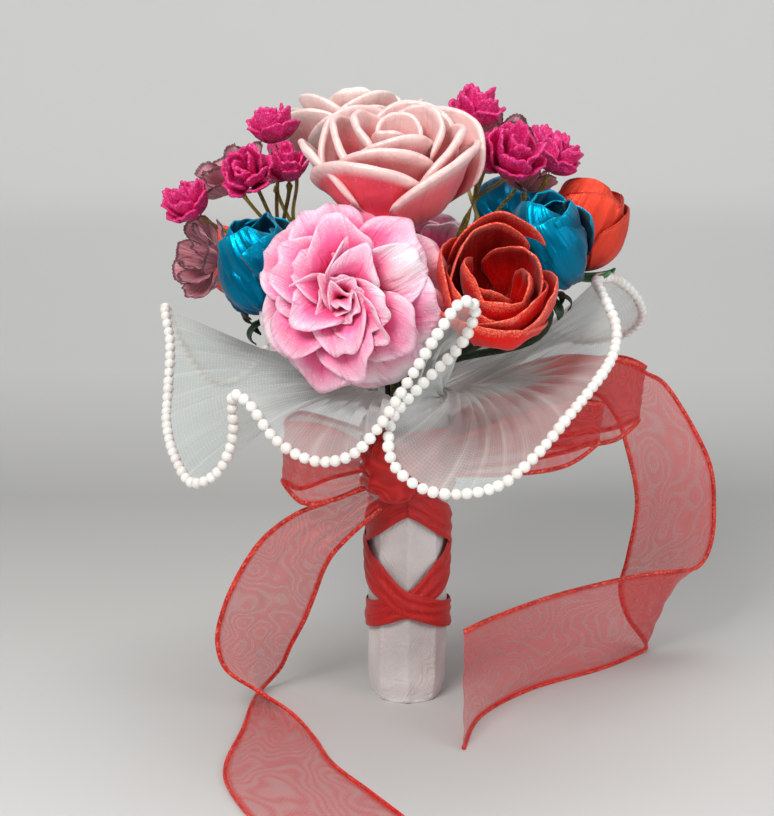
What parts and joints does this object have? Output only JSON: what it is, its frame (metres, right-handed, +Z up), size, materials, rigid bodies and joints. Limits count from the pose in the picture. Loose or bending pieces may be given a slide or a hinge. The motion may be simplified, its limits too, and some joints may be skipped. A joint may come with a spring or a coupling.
{
  "type": "bridal bouquet",
  "caption": "Bridal bouquet of satin, organza and glitter-foam flowers on a cloth-wrapped handle, with a pearl-edged tulle collar and a sheer red ribbon with trailing tails.",
  "frame": {"origin": "centre of the handle's flat foot, on the surface that the bouquet stands on", "axes": "+Z up along the handle, -Y to the front of the bouquet, where the pink carnation is, +X to the viewer's right"},
  "size_m": [0.2206, 0.243, 0.2341],
  "materials": {
    "handle_cloth": "white padded cloth, pressed folds",
    "tulle": "sheer white tulle net",
    "pearl": "faux pearl",
    "organza_red": "sheer red organza, darker woven edges",
    "blush_satin": "dusty pink satin",
    "carnation_pink": "pale pink crepe with a fine glitter",
    "red_satin": "red satin with folded rims",
    "teal_satin": "teal satin",
    "coral_satin": "coral red satin",
    "mauve_organza": "crinkled mauve organza",
    "foam_magenta": "magenta foam with glitter",
    "stem_green": "dark green stem tape and sepals",
    "wire_olive": "olive paper-covered wire"
  },
  "bodies": {
    "root": {"bow_loop_left": "organza_red", "bow_loop_low": "organza_red", "bow_loop_right": "organza_red", "bud_coral_rear": "coral_satin", "bud_coral_right": "coral_satin", "bud_teal_left": "teal_satin", "bud_teal_rear": "teal_satin", "bud_teal_right": "teal_satin", "carnation_front": "carnation_pink", "carnation_rear": "carnation_pink", "foam_rose_left_front": "foam_magenta", "foam_rose_left_inner": "foam_magenta", "foam_rose_left_outer": "foam_magenta", "foam_rose_left_top": "foam_magenta", "foam_rose_rear_left": "foam_magenta", "foam_rose_rear_right": "foam_magenta", "foam_rose_right_front": "foam_magenta", "foam_rose_right_outer": "foam_magenta", "foam_rose_right_top": "foam_magenta", "handle_wrap": "handle_cloth", "mauve_left_high": "mauve_organza", "mauve_left_low": "mauve_organza", "mauve_rear_left": "mauve_organza", "mauve_rear_right": "mauve_organza", "mauve_right_high": "mauve_organza", "mauve_right_low": "mauve_organza", "pearl_trim": "pearl", "ribbon_knot": "organza_red", "ribbon_tail_left": "organza_red", "ribbon_tail_right": "organza_red", "ribbon_wrap": "organza_red", "rose_blush_back": "blush_satin", "rose_blush_front": "blush_satin", "rose_red_front": "red_satin", "rose_red_rear": "red_satin", "stem_bud_coral_rear": "stem_green", "stem_bud_coral_right": "stem_green", "stem_bud_teal_left": "stem_green", "stem_bud_teal_rear": "stem_green", "stem_bud_teal_right": "stem_green", "stem_carnation_front": "stem_green", "stem_carnation_rear": "stem_green", "stem_rose_blush_back": "stem_green", "stem_rose_blush_front": "stem_green", "stem_rose_red_front": "stem_green", "stem_rose_red_rear": "stem_green", "tulle_collar": "tulle", "wires_left_high": "wire_olive", "wires_left_low": "wire_olive", "wires_rear_left": "wire_olive", "wires_rear_right": "wire_olive", "wires_right_high": "wire_olive", "wires_right_low": "wire_olive"}
  },
  "joints": []
}
